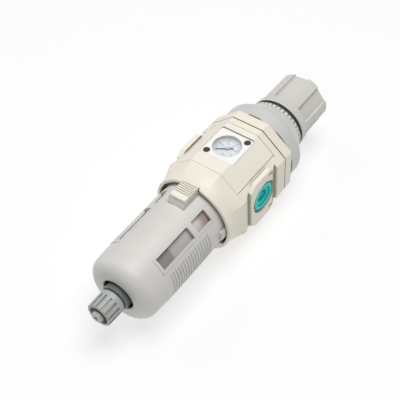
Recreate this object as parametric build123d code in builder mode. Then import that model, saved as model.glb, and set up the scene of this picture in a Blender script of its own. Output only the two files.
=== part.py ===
from build123d import *
import os
from math import atan2, cos, pi, radians, sin, tan

os.makedirs("parts", exist_ok=True)

# Compressed-air filter regulator.  Millimetres, +Z up.
# The origin is where the line through the two ports crosses the main axis.
# The gauge faces -Y, air enters at -X and leaves at +X.  Levels are heights above the port line.

# Body, an eight-sided block
HALF_X = 31.5
HALF_FRONT = 32.2
FRONT_FLAT = 12.25
SIDE_FLAT = 15.3
BODY_TOP = 25.4
FACET_LEVEL = -23.4
RIM_TOP = -35.5
RIM_BOTTOM = -40.7
RIM_RADIUS = 30.5
EDGE_ROUND = 0.8
LAND_ROUND = 1.0

# Port lands on both sides, with a joining groove under and over each
LAND_X = 31.1
LAND_HALF = 20.6
LAND_NECK = 16.5
LAND_ROOT = 27.6
LAND_CORNERS = (-9.5, 8.0)
LOWER_GROOVE = (-21.6, -15.6)
UPPER_GROOVE = (10.8, 15.6)
GROOVE_DEPTH = 2.7
COUNTERBORE_RADIUS = 12.6
COUNTERBORE_FLOOR = 28.9
PORT_RADIUS = 7.5
PORT_END = 16.0
FEED_RADIUS = 1.2
REAR_PORT_RADIUS = 4.3
REAR_PLUG_FACE = 30.5

# Dust plugs
PLUG_FACE = 30.4
PLUG_RADIUS = 10.4
PLUG_LENGTH = 10.5
PLUG_HOLLOW = 4.9
PLUG_DISH = 7.8
DISH_DEPTH = 0.9

# Covers over the front and the back
COVER_TOP = 20.2
COVER_END = 20.7
COVER_THICKNESS = 1.5
SEAM = 0.25
SIDE_SEAM = 0.5

# Internal air chambers
CHAMBER_RADIUS = 10.5
CHAMBER_TOP = 11.0
SEAT_TOP = -5.0
SEAT_BOTTOM = -8.0
VALVE_BORE = 9.0
UPPER_CHAMBER_RADIUS = 21.0
UPPER_CHAMBER_FLOOR = 19.0
BOWL_SOCKET_RADIUS = 23.9
BOWL_SOCKET_TOP = -26.0
GUARD_SOCKET_RADIUS = 28.3
GUARD_SOCKET_TOP = -33.5

# Gauge
GAUGE_CENTRE = 1.25
DIAL_RADIUS = 10.2
PLATE_HALF = 13.4
GAUGE_FACE = -31.0
POCKET_FLOOR = -16.0
PLATE_DEPTH = 7.8
BOSS_RADIUS = 9.3
PLATE_ROUND = 1.6
DIAL_DEPTH = 3.0
DIAL_THICKNESS = 0.6
NEEDLE_DEPTH = 1.9
NEEDLE_PIN = 0.45
NEEDLE_ANGLE = 214.0
NEEDLE_REACH = 8.0
NEEDLE_TAIL = 4.2

# Regulating valve
STEM_RADIUS_TOP = 2.5
STEM_RADIUS_FOOT = 3.0
STEM_TOP = 31.0
STEM_BOTTOM = -22.5
VALVE_FLANGE = -11.0
GUIDE_TOP = -16.0

# Diaphragm and bonnet
DIAPHRAGM_RADIUS = 24.9
BONNET_BOTTOM = 26.2
FLANGE_TOP = 34.8
FLANGE_SLOPE = 1.3
NECK_RADIUS = 25.1
BONNET_SCREW_CIRCLE = 27.6
SCREW_SHANK = 1.78
SCREW_HEAD = 2.35
RING_BOTTOM = 34.83
SLIT_HEIGHT = 0.4
RING_TOP = 48.4
RING_RADIUS = 31.6
COLLAR_TOP = 60.5
TEETH = 40
TOOTH_BOTTOM = 57.9
SPIGOT_RADIUS = 19.4
SPIGOT_TOP = 66.0
LOCK_RING_RADIUS = 20.8
LOCK_RING_TOP = 64.4

# Adjusting screw and knob
SCREW_RADIUS = 4.0
HEX_ACROSS = 8.0
RUNNING_GAP = 0.08
NUT_BOTTOM = 52.0
NUT_TOP = 57.0
SPRING_SEAT = 27.4
SPRING_RADIUS = 9.6
SPRING_WIRE = 1.3
SCREW_FOOT = 36.0
SCREW_COLLAR = (60.4, 62.9)
HEX_BOTTOM = 67.0
HEX_LENGTH = 24.0
KNOB_BOTTOM = 64.5
KNOB_SKIRT_TOP = 72.0
KNOB_TOP = 100.5
KNOB_RIM_RADIUS = 21.9
KNOB_RIB_RADIUS = 21.0
KNOB_FLAT = 17.8
KNOB_MOUTH = 21.1
KNOB_INNER = 15.6
KNOB_RIBS = 6
KNOB_FIRST_RIB = -65.0
KNOB_RIB_ANGLE = 25.0

# Bowl, guard and drain
GUARD_RADIUS = 25.84
GUARD_INNER = 24.1
GUARD_TOP = -34.6
GUARD_BOTTOM = -120.5
GUARD_HOLE = 12.0
WINDOW_ANGLES = (-46.0, -134.0, 46.0, 134.0)
WINDOW_HALF_ANGLE = 10.3
LOWER_WINDOW = (-97.0, -65.0)
UPPER_WINDOW = (-60.5, -47.0)
BOWL_RADIUS = 23.2
BOWL_INNER = 21.2
BOWL_TOP = -28.0
BOWL_FLOOR = -110.0
FINGER_RIBS = 16
FINGER_RIB_BOTTOM = -95.0
FINGER_RIB_PITCH = 2.6
LUG_RADIUS = 27.6
BOWL_BOTTOM = -112.5
DRAIN_HOLE = 6.0
DRAIN_COLLAR_BOTTOM = -124.0
DRAIN_KNOB_RADIUS = 9.0
DRAIN_KNOB_BOTTOM = -139.5
DRAIN_FLUTES = 14
NIPPLE_BOTTOM = -142.0
NIPPLE_BORE = 1.25
NIPPLE_BORE_TOP = -128.0
DRAIN_BORE = 1.0
STEM_HEAD = -105.2
STEM_RADIUS = 3.0

# Filter
ELEMENT_RADIUS = 16.0
ELEMENT_BORE = 10.0
ELEMENT_TOP = -52.0
ELEMENT_BOTTOM = -84.0
LOUVER_RADIUS = 20.2

# Bayonet and lock button on the guard
LEDGE_ANGLES = (45, 135)
BUTTON_HALF = 6.3
BUTTON_TOP = -39.4
BUTTON_BOTTOM = -55.0
BUTTON_FACE = -31.8
BUTTON_BACK = -29.6
BUTTON_RIDGES = 6
RIDGE_PITCH = 1.75
TONGUE_HALF = 3.4
TONGUE_BACK = -26.5
TONGUE_BOTTOM = -50.0
BOSS_HALF = 6.5
BOSS_FACE = -29.3
BOSS_TOP = -41.3
BOSS_BOTTOM = -57.2
CAVITY_BOTTOM = -54.0
LOCK_SPRING_Y = -28.0
LOCK_SPRING_TOP = -46.0


body_corners = [
    (HALF_X, -SIDE_FLAT),
    (HALF_X, SIDE_FLAT),
    (FRONT_FLAT, HALF_FRONT),
    (-FRONT_FLAT, HALF_FRONT),
    (-HALF_X, SIDE_FLAT),
    (-HALF_X, -SIDE_FLAT),
    (-FRONT_FLAT, -HALF_FRONT),
    (FRONT_FLAT, -HALF_FRONT),
]


def octagon(level, inset=0.0):
    """Outline of the eight-sided body at a level, drawn in by an inset."""
    with BuildSketch(Plane.XY.offset(level)) as outline:
        with BuildLine():
            Polyline(*body_corners, close=True)
        make_face()
        if inset:
            offset(amount=-inset, kind=Kind.INTERSECTION)
    return outline.sketch


def rim_outline(level):
    """The round rim at a level, as eight arcs that meet under the body's corners."""
    angles = [atan2(y, x) for x, y in body_corners]
    with BuildSketch(Plane.XY.offset(level)) as outline:
        with BuildLine():
            for first, second in zip(angles, angles[1:] + angles[:1]):
                half_step = (second - first) % (2 * pi) / 2
                ThreePointArc(*((RIM_RADIUS * cos(angle), RIM_RADIUS * sin(angle))
                                for angle in (first, first + half_step, second)))
        make_face()
    return outline.sketch


def turned(points, rounds=(), mode=Mode.ADD):
    """A body of revolution from its half section of (radius, level) points.

    rounds lists ((radius, level), fillet radius) for the corners that are rounded.
    """
    with BuildSketch(Plane.XZ) as section:
        with BuildLine():
            Polyline(*points, close=True)
        make_face()
        for corner, corner_round in rounds:
            nearest = section.vertices().sort_by_distance((corner[0], corner[1], 0))[0]
            fillet(nearest, radius=corner_round)
    revolve(section.sketch, axis=Axis.Z, mode=mode)


def block(x_span, y_span, z_span, mode=Mode.ADD):
    """A rectangular block from its limits along X, Y and Z."""
    spans = (x_span, y_span, z_span)
    middle = [(low + high) / 2 for low, high in spans]
    size = [high - low for low, high in spans]
    with Locations(tuple(middle)):
        Box(*size, mode=mode)


def sector(level, height, inner, outer, middle_angle, half_angle, mode=Mode.ADD):
    """A piece of a ring, between two radii and two angles, standing on a level."""
    first = radians(middle_angle - half_angle)
    middle = radians(middle_angle)
    last = radians(middle_angle + half_angle)
    with BuildSketch(Plane.XY.offset(level)) as ring:
        with BuildLine():
            outer_start = (outer * cos(first), outer * sin(first))
            outer_middle = (outer * cos(middle), outer * sin(middle))
            outer_end = (outer * cos(last), outer * sin(last))
            inner_start = (inner * cos(first), inner * sin(first))
            inner_middle = (inner * cos(middle), inner * sin(middle))
            inner_end = (inner * cos(last), inner * sin(last))
            ThreePointArc(outer_start, outer_middle, outer_end)
            Line(outer_end, inner_end)
            ThreePointArc(inner_end, inner_middle, inner_start)
            Line(inner_start, outer_start)
        make_face()
    extrude(ring.sketch, amount=height, mode=mode)


def coil(mean_radius, wire_radius, bottom, top, turns, centre=(0, 0)):
    """A compression spring that fills the height from bottom to top."""
    height = top - bottom - 2 * wire_radius
    start_level = bottom + wire_radius
    with BuildLine() as path:
        Helix(height / turns, height, mean_radius, center=(centre[0], centre[1], start_level))
    with BuildSketch(Plane(origin=path.line @ 0, z_dir=path.line % 0)) as wire:
        Circle(wire_radius)
    sweep(wire.sketch, path=path.line, is_frenet=True)


def o_ring(mean_radius, section_radius, level):
    """A seal ring lying flat at a level."""
    with BuildSketch(Plane.XZ) as section:
        with Locations((mean_radius, level)):
            Circle(section_radius)
    revolve(section.sketch, axis=Axis.Z)


def cover_space(depth, end, bottom, top, side, mode=Mode.ADD):
    """The layer of the body's skin that a cover fills; side is -1 at the front, +1 at the back."""
    skin = octagon(bottom) - octagon(bottom, depth)
    reach = HALF_FRONT + 5
    far = side * reach
    near = side * end
    with BuildSketch(Plane.XY.offset(bottom)) as layer:
        add(skin)
        with Locations((0, (near + far) / 2, 0)):
            Rectangle(2 * HALF_X + 4, abs(far - near), mode=Mode.INTERSECT)
    extrude(layer.sketch, amount=top - bottom, mode=mode)


gauge_plane = Plane(origin=(0, GAUGE_FACE, GAUGE_CENTRE), x_dir=(1, 0, 0), z_dir=(0, 1, 0))


def gauge_opening(depth):
    """Cuts the rounded square opening that the gauge plate sits in, to a depth behind the plate's face."""
    reach = 5.0
    with BuildSketch(gauge_plane.offset(-reach)) as opening:
        Rectangle(2 * PLATE_HALF + 2 * SEAM, 2 * PLATE_HALF + 2 * SEAM)
        fillet(opening.vertices(), radius=PLATE_ROUND + SEAM)
    extrude(opening.sketch, amount=reach + depth, mode=Mode.SUBTRACT)


# ---------------------------------------------------------------- body

# the body's lower end: eight slopes whose corners die out towards the round rim
with BuildPart() as taper:
    loft([rim_outline(RIM_TOP).face(), octagon(FACET_LEVEL, 0.05).face()], ruled=True)

with BuildPart() as body:
    extrude(octagon(FACET_LEVEL), amount=BODY_TOP - FACET_LEVEL)
    upright = body.edges().filter_by(Axis.Z)
    fillet(upright, radius=EDGE_ROUND)
    add(taper.part)
    turned([(0, RIM_BOTTOM), (RIM_RADIUS, RIM_BOTTOM), (RIM_RADIUS, RIM_TOP), (0, RIM_TOP)],
           rounds=[((RIM_RADIUS, RIM_BOTTOM), 0.8)])
    for side in (-1, 1):
        # the land round the port, wider than the side it stands on
        with BuildSketch(Plane.YZ.offset(side * LAND_ROOT)) as land:
            with BuildLine():
                Polyline((-LAND_NECK, LOWER_GROOVE[1]), (-LAND_HALF, LAND_CORNERS[0]),
                         (-LAND_HALF, LAND_CORNERS[1]), (-LAND_NECK, UPPER_GROOVE[0]),
                         (LAND_NECK, UPPER_GROOVE[0]), (LAND_HALF, LAND_CORNERS[1]),
                         (LAND_HALF, LAND_CORNERS[0]), (LAND_NECK, LOWER_GROOVE[1]), close=True)
            make_face()
            fillet(land.vertices(), radius=LAND_ROUND)
        extrude(land.sketch, amount=side * (LAND_X - LAND_ROOT))
        face = sorted((side * LAND_X, side * (HALF_X + 1)))
        block(face, (-HALF_FRONT, HALF_FRONT), (LOWER_GROOVE[1], UPPER_GROOVE[0]), mode=Mode.SUBTRACT)
        # joining grooves, which deepen upwards to a square wall
        for low, high in (LOWER_GROOVE, UPPER_GROOVE):
            with BuildSketch(Plane.XZ.offset(-HALF_FRONT - 1)) as groove:
                with BuildLine():
                    Polyline((side * HALF_X, low), (side * (HALF_X + 1), low), (side * (HALF_X + 1), high),
                             (side * (HALF_X - GROOVE_DEPTH), high))
                    ThreePointArc((side * (HALF_X - GROOVE_DEPTH), high),
                                  (side * (HALF_X - 0.72 * GROOVE_DEPTH), (low + high) / 2),
                                  (side * HALF_X, low))
                make_face()
            extrude(groove.sketch, amount=2 * HALF_FRONT + 2, mode=Mode.SUBTRACT)
    for side in (-1, 1):
        cover_space(COVER_THICKNESS + 0.1, COVER_END - SIDE_SEAM, FACET_LEVEL, COVER_TOP, side, Mode.SUBTRACT)
    # port counterbores and threaded ports
    for side in (-1, 1):
        outside = Plane(origin=(side * (HALF_X + 1), 0, 0), x_dir=(0, 1, 0), z_dir=(-side, 0, 0))
        with BuildSketch(outside) as counterbore:
            Circle(COUNTERBORE_RADIUS)
        extrude(counterbore.sketch, amount=HALF_X + 1 - COUNTERBORE_FLOOR, mode=Mode.SUBTRACT)
        with BuildSketch(outside) as port:
            Circle(PORT_RADIUS)
        extrude(port.sketch, amount=HALF_X + 1 - PORT_END, mode=Mode.SUBTRACT)
        # joining clip slots beside each port
        for y_side in (-1, 1):
            slot = sorted((side * (LAND_X - 3.5), side * (LAND_X + 1)))
            y_middle = 16.2 * y_side
            block(slot, (y_middle - 0.9, y_middle + 0.9), (5.9, 10.3), mode=Mode.SUBTRACT)
    # outlet chamber, opening sideways into the outlet port
    turned([(0, SEAT_TOP), (CHAMBER_RADIUS, SEAT_TOP), (CHAMBER_RADIUS, CHAMBER_TOP), (0, CHAMBER_TOP)],
           mode=Mode.SUBTRACT)
    with BuildSketch(Plane.YZ.offset(5)) as outlet_way:
        Circle(4.6)
    extrude(outlet_way.sketch, amount=PORT_END - 4, mode=Mode.SUBTRACT)
    # inlet passage down to the bowl
    with BuildSketch(Plane.XY.offset(BOWL_SOCKET_TOP - 1)) as inlet_way:
        with Locations((-19.2, 0)):
            Circle(3.1)
    extrude(inlet_way.sketch, amount=-BOWL_SOCKET_TOP + 1, mode=Mode.SUBTRACT)
    # valve bore, stem bore, upper chamber and its feed hole
    turned([(0, BOWL_SOCKET_TOP - 1), (VALVE_BORE, BOWL_SOCKET_TOP - 1), (VALVE_BORE, SEAT_TOP),
            (0, SEAT_TOP)], mode=Mode.SUBTRACT)
    turned([(0, CHAMBER_TOP - 1), (STEM_RADIUS_TOP + RUNNING_GAP, CHAMBER_TOP - 1),
            (STEM_RADIUS_TOP + RUNNING_GAP, UPPER_CHAMBER_FLOOR + 1), (0, UPPER_CHAMBER_FLOOR + 1)],
           mode=Mode.SUBTRACT)
    turned([(0, UPPER_CHAMBER_FLOOR), (UPPER_CHAMBER_RADIUS, UPPER_CHAMBER_FLOOR),
            (UPPER_CHAMBER_RADIUS, BODY_TOP + 1), (0, BODY_TOP + 1)], mode=Mode.SUBTRACT)
    with BuildSketch(Plane.XY.offset(CHAMBER_TOP - 1)) as feed_hole:
        with Locations((7.5, 0)):
            Circle(FEED_RADIUS)
    extrude(feed_hole.sketch, amount=UPPER_CHAMBER_FLOOR - CHAMBER_TOP + 2, mode=Mode.SUBTRACT)
    # sockets for the bowl and its guard
    turned([(0, RIM_BOTTOM - 1), (GUARD_SOCKET_RADIUS, RIM_BOTTOM - 1),
            (GUARD_SOCKET_RADIUS, GUARD_SOCKET_TOP), (BOWL_SOCKET_RADIUS, GUARD_SOCKET_TOP),
            (BOWL_SOCKET_RADIUS, BOWL_SOCKET_TOP), (0, BOWL_SOCKET_TOP)], mode=Mode.SUBTRACT)
    # bayonet ledges and the notch for the lock button
    for angle in LEDGE_ANGLES:
        sector(RIM_BOTTOM, 1.8, 26.5, GUARD_SOCKET_RADIUS + 0.5, angle, 13)
    block((-BUTTON_HALF - 0.4, BUTTON_HALF + 0.4), (-HALF_FRONT, -GUARD_RADIUS),
          (RIM_BOTTOM - 1, BUTTON_TOP + 0.3), mode=Mode.SUBTRACT)
    # small vent in the right-hand taper
    with BuildSketch(Plane.YZ.offset(HALF_X)) as vent:
        with Locations((12.6, -25.8)):
            Circle(0.6)
    extrude(vent.sketch, amount=-3.5, mode=Mode.SUBTRACT)
    # gauge pocket, square in front and round behind, and its feed hole
    gauge_opening(PLATE_DEPTH + 0.2)
    behind_gauge = Plane(origin=(0, -24, GAUGE_CENTRE), x_dir=(1, 0, 0), z_dir=(0, 1, 0))
    with BuildSketch(behind_gauge) as round_pocket:
        Circle(BOSS_RADIUS + 0.1)
    extrude(round_pocket.sketch, amount=POCKET_FLOOR + 24, mode=Mode.SUBTRACT)
    with BuildSketch(behind_gauge) as gauge_feed:
        Circle(FEED_RADIUS)
    extrude(gauge_feed.sketch, amount=18, mode=Mode.SUBTRACT)
    # rear gauge port
    with BuildSketch(Plane.XZ.offset(-HALF_FRONT - 1)) as rear_port:
        Circle(REAR_PORT_RADIUS)
    extrude(rear_port.sketch, amount=HALF_FRONT + 1 - 20, mode=Mode.SUBTRACT)
    with BuildSketch(Plane.XZ.offset(-HALF_FRONT - 1)) as rear_recess:
        Circle(6.4)
    extrude(rear_recess.sketch, amount=HALF_FRONT + 1 - 28.5, mode=Mode.SUBTRACT)
    with BuildSketch(Plane.XZ.offset(-HALF_FRONT - 1)) as rear_feed:
        Circle(FEED_RADIUS)
    extrude(rear_feed.sketch, amount=HALF_FRONT + 1 - 9, mode=Mode.SUBTRACT)
    # threaded holes for the bonnet screws
    with BuildSketch(Plane.XY.offset(BODY_TOP + 1)) as screw_holes:
        with PolarLocations(BONNET_SCREW_CIRCLE, 4, start_angle=45):
            Circle(SCREW_SHANK + 0.02)
    extrude(screw_holes.sketch, amount=-12, mode=Mode.SUBTRACT)
body.part.label = "body"
export_step(body.part, "parts/body.step")

with BuildPart() as front_cover:
    cover_space(COVER_THICKNESS, COVER_END, FACET_LEVEL + 0.1, COVER_TOP - SEAM, -1)
    gauge_opening(PLATE_DEPTH)
front_cover.part.label = "front_cover"
export_step(front_cover.part, "parts/front_cover.step")

with BuildPart() as rear_cover:
    cover_space(COVER_THICKNESS, COVER_END, FACET_LEVEL + 0.1, COVER_TOP - SEAM, 1)
    with BuildSketch(Plane.XZ.offset(-HALF_FRONT - 1)) as plug_window:
        Circle(7.5)
    extrude(plug_window.sketch, amount=6, mode=Mode.SUBTRACT)
rear_cover.part.label = "rear_cover"
export_step(rear_cover.part, "parts/rear_cover.step")

# ---------------------------------------------------------------- port plugs

for side, plug_name in ((-1, "inlet_plug"), (1, "outlet_plug")):
    with BuildPart() as port_plug:
        outside = Plane(origin=(side * PLUG_FACE, 0, 0), x_dir=(0, 1, 0), z_dir=(-side, 0, 0))
        with BuildSketch(outside) as flange:
            Circle(PLUG_RADIUS)
        extrude(flange.sketch, amount=PLUG_FACE - COUNTERBORE_FLOOR)
        with BuildSketch(outside) as cup:
            Circle(PORT_RADIUS - RUNNING_GAP)
        extrude(cup.sketch, amount=PLUG_LENGTH)
        with BuildSketch(outside) as dish:
            Circle(PLUG_DISH)
        extrude(dish.sketch, amount=DISH_DEPTH, mode=Mode.SUBTRACT)
        with BuildSketch(outside) as cup_hollow:
            Circle(PLUG_HOLLOW)
        extrude(cup_hollow.sketch, amount=PLUG_LENGTH - 1.2, mode=Mode.SUBTRACT)
        # finger web across the hollow
        web = sorted((side * (PLUG_FACE - PLUG_LENGTH + 0.5), side * (PLUG_FACE - 1.8)))
        block(web, (-0.9, 0.9), (-PLUG_HOLLOW - 0.3, PLUG_HOLLOW + 0.3))
    port_plug.part.label = plug_name
    export_step(port_plug.part, f"parts/{plug_name}.step")

with BuildPart() as rear_gauge_plug:
    with BuildSketch(Plane.XZ.offset(-28.5)) as shank:
        Circle(REAR_PORT_RADIUS - 0.02)
    extrude(shank.sketch, amount=7.5)
    with BuildSketch(Plane.XZ.offset(-REAR_PLUG_FACE)) as head:
        Circle(6.2)
    extrude(head.sketch, amount=2.0)
    with BuildSketch(Plane.XZ.offset(-REAR_PLUG_FACE - 0.5)) as socket:
        RegularPolygon(2.9, 6)
    extrude(socket.sketch, amount=4.5, mode=Mode.SUBTRACT)
rear_gauge_plug.part.label = "rear_gauge_plug"
export_step(rear_gauge_plug.part, "parts/rear_gauge_plug.step")

# ---------------------------------------------------------------- pressure gauge

# the gauge plane's second direction points down
SCREW_SPOTS = ((-9.8, 10.25), (9.8, -10.15))

with BuildPart() as gauge_case:
    with BuildSketch(gauge_plane) as plate:
        Rectangle(2 * PLATE_HALF, 2 * PLATE_HALF)
        fillet(plate.vertices(), radius=PLATE_ROUND)
    extrude(plate.sketch, amount=PLATE_DEPTH)
    with BuildSketch(gauge_plane.offset(PLATE_DEPTH)) as back_boss:
        Circle(BOSS_RADIUS)
    extrude(back_boss.sketch, amount=6.8)
    with BuildSketch(gauge_plane) as window:
        Circle(DIAL_RADIUS)
    extrude(window.sketch, amount=DIAL_DEPTH + DIAL_THICKNESS, mode=Mode.SUBTRACT)
    with BuildSketch(gauge_plane.offset(DIAL_DEPTH)) as movement_space:
        Circle(8.2)
    extrude(movement_space.sketch, amount=13.6 - DIAL_DEPTH, mode=Mode.SUBTRACT)
    with BuildSketch(gauge_plane.offset(13)) as inlet_hole:
        Circle(FEED_RADIUS)
    extrude(inlet_hole.sketch, amount=3, mode=Mode.SUBTRACT)
    # holes for the two fixing screws, each with a head recess
    for x_spot, z_spot in SCREW_SPOTS:
        with BuildSketch(gauge_plane) as head_recess:
            with Locations((x_spot, z_spot)):
                Circle(2.5)
        extrude(head_recess.sketch, amount=1.4, mode=Mode.SUBTRACT)
        with BuildSketch(gauge_plane) as screw_hole:
            with Locations((x_spot, z_spot)):
                Circle(1.3)
        extrude(screw_hole.sketch, amount=9, mode=Mode.SUBTRACT)
gauge_case.part.label = "gauge_case"
export_step(gauge_case.part, "parts/gauge_case.step")

with BuildPart() as gauge_dial:
    with BuildSketch(gauge_plane.offset(DIAL_DEPTH)) as dial_disc:
        Circle(DIAL_RADIUS - 0.1)
    extrude(dial_disc.sketch, amount=DIAL_THICKNESS)
    with BuildSketch(gauge_plane.offset(DIAL_DEPTH - 1)) as pivot_hole:
        Circle(1.0)
    extrude(pivot_hole.sketch, amount=3, mode=Mode.SUBTRACT)
gauge_dial.part.label = "gauge_dial"
export_step(gauge_dial.part, "parts/gauge_dial.step")

with BuildPart() as gauge_movement:
    with BuildSketch(gauge_plane.offset(7.2)) as movement_plate:
        Circle(5.0)
    extrude(movement_plate.sketch, amount=1.2)
    with BuildSketch(gauge_plane.offset(NEEDLE_DEPTH - 0.1)) as pinion_shaft:
        Circle(NEEDLE_PIN)
    extrude(pinion_shaft.sketch, amount=5.6)
    # Bourdon tube, an open ring behind the movement plate
    with BuildSketch(gauge_plane.offset(9.2)) as tube:
        Circle(7.6)
        Circle(6.2, mode=Mode.SUBTRACT)
        with Locations((0, 7)):
            Rectangle(5, 6, mode=Mode.SUBTRACT)
    extrude(tube.sketch, amount=3.2)
    with BuildSketch(gauge_plane.offset(8.2)) as stock:
        with Locations((0, -4.2)):
            Rectangle(3.4, 5.0)
    extrude(stock.sketch, amount=5.0)
gauge_movement.part.label = "gauge_movement"
export_step(gauge_movement.part, "parts/gauge_movement.step")

# The needle points at the zero mark, low on the left.
with BuildPart() as gauge_needle:
    with BuildSketch(gauge_plane.offset(NEEDLE_DEPTH)) as hub:
        Circle(1.3)
    extrude(hub.sketch, amount=0.8)
    needle_x = cos(radians(NEEDLE_ANGLE))
    needle_z = sin(radians(NEEDLE_ANGLE))
    needle_plane = Plane(origin=(0, GAUGE_FACE + NEEDLE_DEPTH + 0.2, GAUGE_CENTRE),
                         x_dir=(needle_x, 0, needle_z), z_dir=(0, 1, 0))
    with BuildSketch(needle_plane) as pointer:
        with BuildLine():
            Polyline((NEEDLE_REACH, 0.12), (0, 0.62), (-NEEDLE_TAIL, 0.75), (-NEEDLE_TAIL, -0.75),
                     (0, -0.62), (NEEDLE_REACH, -0.12), close=True)
        make_face()
    extrude(pointer.sketch, amount=0.4)
    with BuildSketch(gauge_plane.offset(NEEDLE_DEPTH - 1)) as hub_bore:
        Circle(NEEDLE_PIN + 0.05)
    extrude(hub_bore.sketch, amount=3, mode=Mode.SUBTRACT)
gauge_needle.part.label = "gauge_needle"
export_step(gauge_needle.part, "parts/gauge_needle.step")

with BuildPart() as gauge_lens:
    with BuildSketch(gauge_plane.offset(0.3)) as lens_disc:
        Circle(DIAL_RADIUS - 0.02)
    extrude(lens_disc.sketch, amount=1.2)
gauge_lens.part.label = "gauge_lens"
export_step(gauge_lens.part, "parts/gauge_lens.step")

with BuildPart() as gauge_seal:
    with BuildSketch(gauge_plane.offset(14.6)) as seal_face:
        Circle(5.0)
        Circle(2.2, mode=Mode.SUBTRACT)
    extrude(seal_face.sketch, amount=0.4)
gauge_seal.part.label = "gauge_seal"
export_step(gauge_seal.part, "parts/gauge_seal.step")

with BuildPart() as gauge_screws:
    for x_spot, z_spot in SCREW_SPOTS:
        with BuildSketch(gauge_plane.offset(0.3)) as screw_head:
            with Locations((x_spot, z_spot)):
                Circle(2.3)
        extrude(screw_head.sketch, amount=1.1)
        with BuildSketch(gauge_plane.offset(1.3)) as screw_shank:
            with Locations((x_spot, z_spot)):
                Circle(1.25)
        extrude(screw_shank.sketch, amount=6.4)
        for cross_angle in (35, 125):
            with BuildSketch(gauge_plane) as cross:
                with Locations(Location((x_spot, z_spot), cross_angle)):
                    Rectangle(3.0, 0.7)
            extrude(cross.sketch, amount=1.0, mode=Mode.SUBTRACT)
gauge_screws.part.label = "gauge_screws"
export_step(gauge_screws.part, "parts/gauge_screws.step")

# ---------------------------------------------------------------- regulating valve

with BuildPart() as valve_seat:
    turned([(5.5, SEAT_BOTTOM), (VALVE_BORE, SEAT_BOTTOM), (VALVE_BORE, SEAT_TOP), (6.0, SEAT_TOP),
            (5.5, SEAT_TOP - 1)])
valve_seat.part.label = "valve_seat"
export_step(valve_seat.part, "parts/valve_seat.step")

with BuildPart() as valve_stem:
    turned([(0, STEM_BOTTOM), (STEM_RADIUS_FOOT, STEM_BOTTOM), (STEM_RADIUS_FOOT, VALVE_FLANGE),
            (6.6, VALVE_FLANGE), (6.6, -9.5), (STEM_RADIUS_TOP, -9.5), (STEM_RADIUS_TOP, 22.0), (3.2, 22.0),
            (3.2, 23.2), (STEM_RADIUS_TOP, 23.2), (STEM_RADIUS_TOP, STEM_TOP), (0, STEM_TOP)])
valve_stem.part.label = "valve_stem"
export_step(valve_stem.part, "parts/valve_stem.step")

with BuildPart() as valve_disc:
    turned([(2.5, -9.5), (7.4, -9.5), (7.4, SEAT_BOTTOM - 0.05), (2.5, SEAT_BOTTOM - 0.05)])
valve_disc.part.label = "valve_disc"
export_step(valve_disc.part, "parts/valve_disc.step")

with BuildPart() as valve_spring:
    coil(4.6, 0.45, GUIDE_TOP, VALVE_FLANGE, 3)
valve_spring.part.label = "valve_spring"
export_step(valve_spring.part, "parts/valve_spring.step")

with BuildPart() as valve_guide:
    turned([(0, -32.0), (6.5, -32.0), (6.5, -29.0), (12.0, -29.0), (12.0, BOWL_SOCKET_TOP),
            (VALVE_BORE, BOWL_SOCKET_TOP), (VALVE_BORE, GUIDE_TOP), (0, GUIDE_TOP)])
    turned([(0, -25.0), (STEM_RADIUS_FOOT + RUNNING_GAP, -25.0),
            (STEM_RADIUS_FOOT + RUNNING_GAP, GUIDE_TOP + 1), (0, GUIDE_TOP + 1)],
           mode=Mode.SUBTRACT)
    turned([(0, -33.0), (2.6, -33.0), (2.6, -27.0), (0, -27.0)], mode=Mode.SUBTRACT)
    with BuildSketch(Plane.XY.offset(-33)) as air_ways:
        with PolarLocations(6.9, 6):
            Circle(1.3)
    extrude(air_ways.sketch, amount=18, mode=Mode.SUBTRACT)
    turned([(10.2, -28.0), (12.5, -28.0), (12.5, -26.9), (10.2, -26.9)], mode=Mode.SUBTRACT)
valve_guide.part.label = "valve_guide"
export_step(valve_guide.part, "parts/valve_guide.step")

with BuildPart() as guide_o_ring:
    o_ring(10.8, 0.5, -27.45)
guide_o_ring.part.label = "guide_o_ring"
export_step(guide_o_ring.part, "parts/guide_o_ring.step")

# ---------------------------------------------------------------- diaphragm

with BuildPart() as diaphragm:
    turned([(2.5, 25.0), (13.5, 25.0), (14.5, 26.2), (16.5, 27.4), (18.5, 26.6), (19.6, BODY_TOP),
            (DIAPHRAGM_RADIUS, BODY_TOP), (DIAPHRAGM_RADIUS, BONNET_BOTTOM), (20.2, BONNET_BOTTOM),
            (18.9, 27.6), (16.5, 28.4), (13.6, 27.0), (13.0, 26.0), (2.5, 26.0)])
diaphragm.part.label = "diaphragm"
export_step(diaphragm.part, "parts/diaphragm.step")

with BuildPart() as lower_diaphragm_plate:
    turned([(2.5, 23.2), (12.0, 23.2), (13.0, 24.0), (13.0, 25.0), (2.5, 25.0)])
lower_diaphragm_plate.part.label = "lower_diaphragm_plate"
export_step(lower_diaphragm_plate.part, "parts/lower_diaphragm_plate.step")

with BuildPart() as upper_diaphragm_plate:
    turned([(2.5, 26.0), (12.6, 26.0), (12.6, 28.6), (11.9, 28.6), (11.9, 27.4), (2.5, 27.4)])
upper_diaphragm_plate.part.label = "upper_diaphragm_plate"
export_step(upper_diaphragm_plate.part, "parts/upper_diaphragm_plate.step")

with BuildPart() as stem_nut:
    with BuildSketch(Plane.XY.offset(27.4)) as nut_hexagon:
        RegularPolygon(4.6, 6)
        Circle(2.5, mode=Mode.SUBTRACT)
    extrude(nut_hexagon.sketch, amount=2.6)
stem_nut.part.label = "stem_nut"
export_step(stem_nut.part, "parts/stem_nut.step")

# ---------------------------------------------------------------- bonnet

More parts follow.
